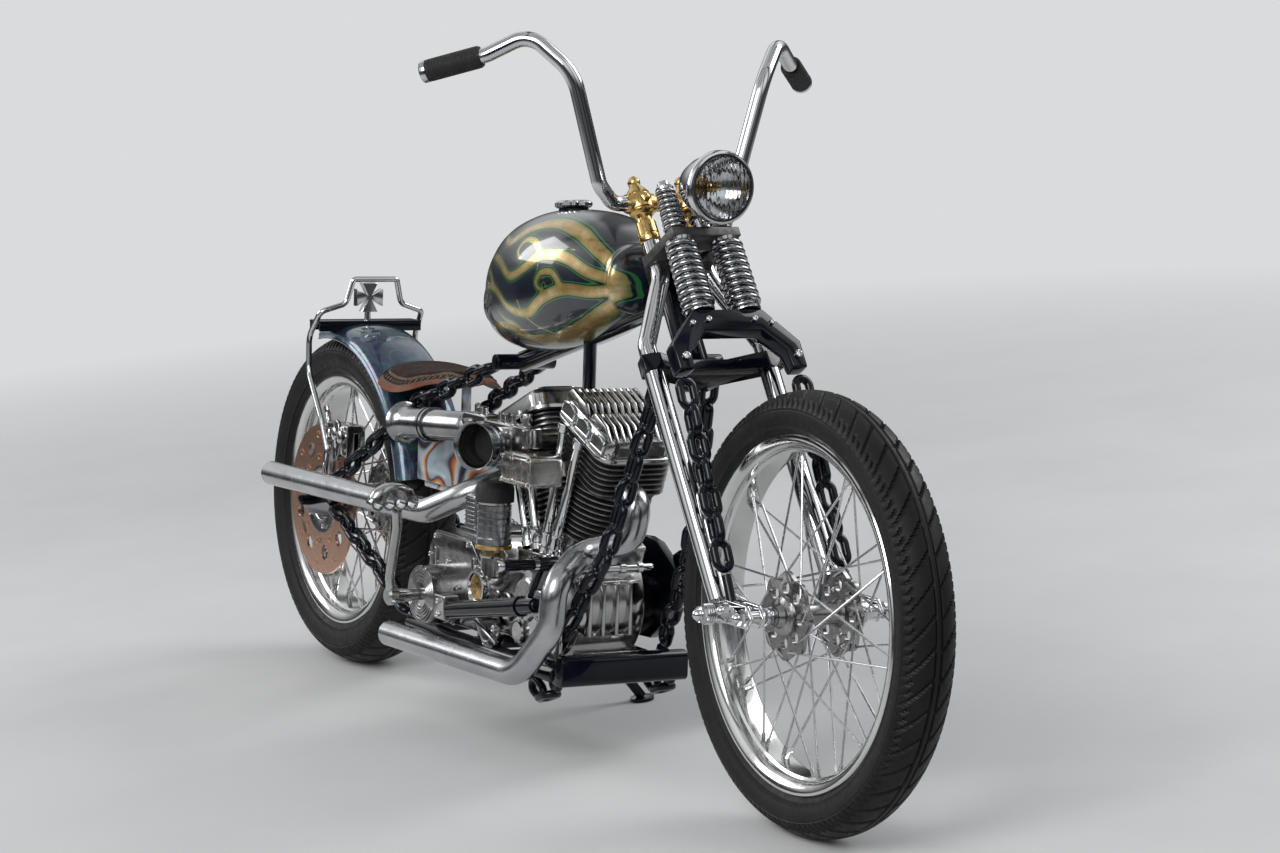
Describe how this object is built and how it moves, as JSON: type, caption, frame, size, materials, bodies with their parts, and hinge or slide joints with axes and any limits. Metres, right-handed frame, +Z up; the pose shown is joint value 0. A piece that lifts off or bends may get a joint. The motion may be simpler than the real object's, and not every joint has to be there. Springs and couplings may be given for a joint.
{
  "type": "chopper motorcycle",
  "caption": "Long low custom motorcycle: vee engine, frame and fork legs of welded chain, springer fork, spoked wheels, high bars, solo seat; parked on its side stand",
  "frame": {"origin": "on the floor, under the middle of the parked motorcycle's overall box", "axes": "+X forward, +Y to the rider's left, +Z up; the motorcycle leans to +Y on its side stand"},
  "size_m": [2.328, 0.7962, 1.2532],
  "materials": {
    "alloy": "polished cast alloy",
    "black_gloss": "gloss black coat",
    "brass": "polished brass",
    "chrome": "polished chrome plate",
    "copper": "brushed copper-coloured disc",
    "fender_paint": "teal and violet flake paint",
    "iron": "dark cast fins with bright edges",
    "leather": "brown leather with a laced edge",
    "oil_paint": "white and orange paint",
    "rubber": "black rubber",
    "steel": "polished steel",
    "tank_paint": "gloss dark paint with gold flames",
    "tyre": "road tyre rubber"
  },
  "bodies": {
    "frame": {"axle_plates": "black_gloss", "brake_caliper": "alloy", "carburettors": "alloy", "chain_down_tubes": "black_gloss", "chain_seat_rails": "black_gloss", "chain_stays": "black_gloss", "coil_box": "alloy", "crankcase": "alloy", "final_chain": "steel", "foot_controls": "alloy", "frame_neck": "black_gloss", "front_cylinder": "iron", "front_exhaust": "chrome", "front_rocker_box": "alloy", "fuel_cap": "chrome", "fuel_tank": "tank_paint", "gearbox": "alloy", "kick_lever": "alloy", "lower_frame": "black_gloss", "magneto": "alloy", "oil_tank": "oil_paint", "primary_drive": "black_gloss", "pushrod_tubes": "chrome", "rear_cylinder": "iron", "rear_exhaust": "chrome", "rear_fender": "fender_paint", "rear_rocker_box": "alloy", "seat": "leather", "sissy_bar": "chrome", "tail_lamp": "chrome", "timing_cover": "alloy", "velocity_stacks": "alloy"},
    "fork": {"chain_fork_legs": "black_gloss", "fork_rockers": "chrome", "fork_springs": "chrome", "fork_stem": "chrome", "grips": "rubber", "handlebar": "chrome", "handlebar_risers": "brass", "headlight": "chrome", "lower_crown": "black_gloss", "rear_fork_legs": "chrome", "spring_perch": "black_gloss"},
    "front_wheel": {"front_hub": "steel", "front_rim": "alloy", "front_tyre": "tyre"},
    "rear_wheel": {"brake_disc": "copper", "rear_hub": "steel", "rear_rim": "alloy", "rear_sprocket": "steel", "rear_tyre": "tyre"},
    "stand": {"side_stand": "black_gloss"}
  },
  "joints": [
    {"name": "steering", "type": "hinge", "parent": "frame", "child": "fork", "pos_m": [0.43103, -0.04879, 0.68757], "axis": [-0.5592, 0.1297, 0.8188], "range_deg": [-28, 28]},
    {"name": "front_wheel_spin", "type": "hinge", "parent": "fork", "child": "front_wheel", "pos_m": [0.817, -0.10341, 0.34273], "axis": [0, 0.9877, -0.1564], "continuous": true},
    {"name": "rear_wheel_spin", "type": "hinge", "parent": "frame", "child": "rear_wheel", "pos_m": [-0.842, -0.10732, 0.31804], "axis": [0, 0.9877, -0.1564], "continuous": true},
    {"name": "side_stand_fold", "type": "hinge", "parent": "frame", "child": "stand", "pos_m": [-0.137, 0.01236, 0.11481], "axis": [0, 0.8746, 0.4848], "range_deg": [0, 100]}
  ]
}
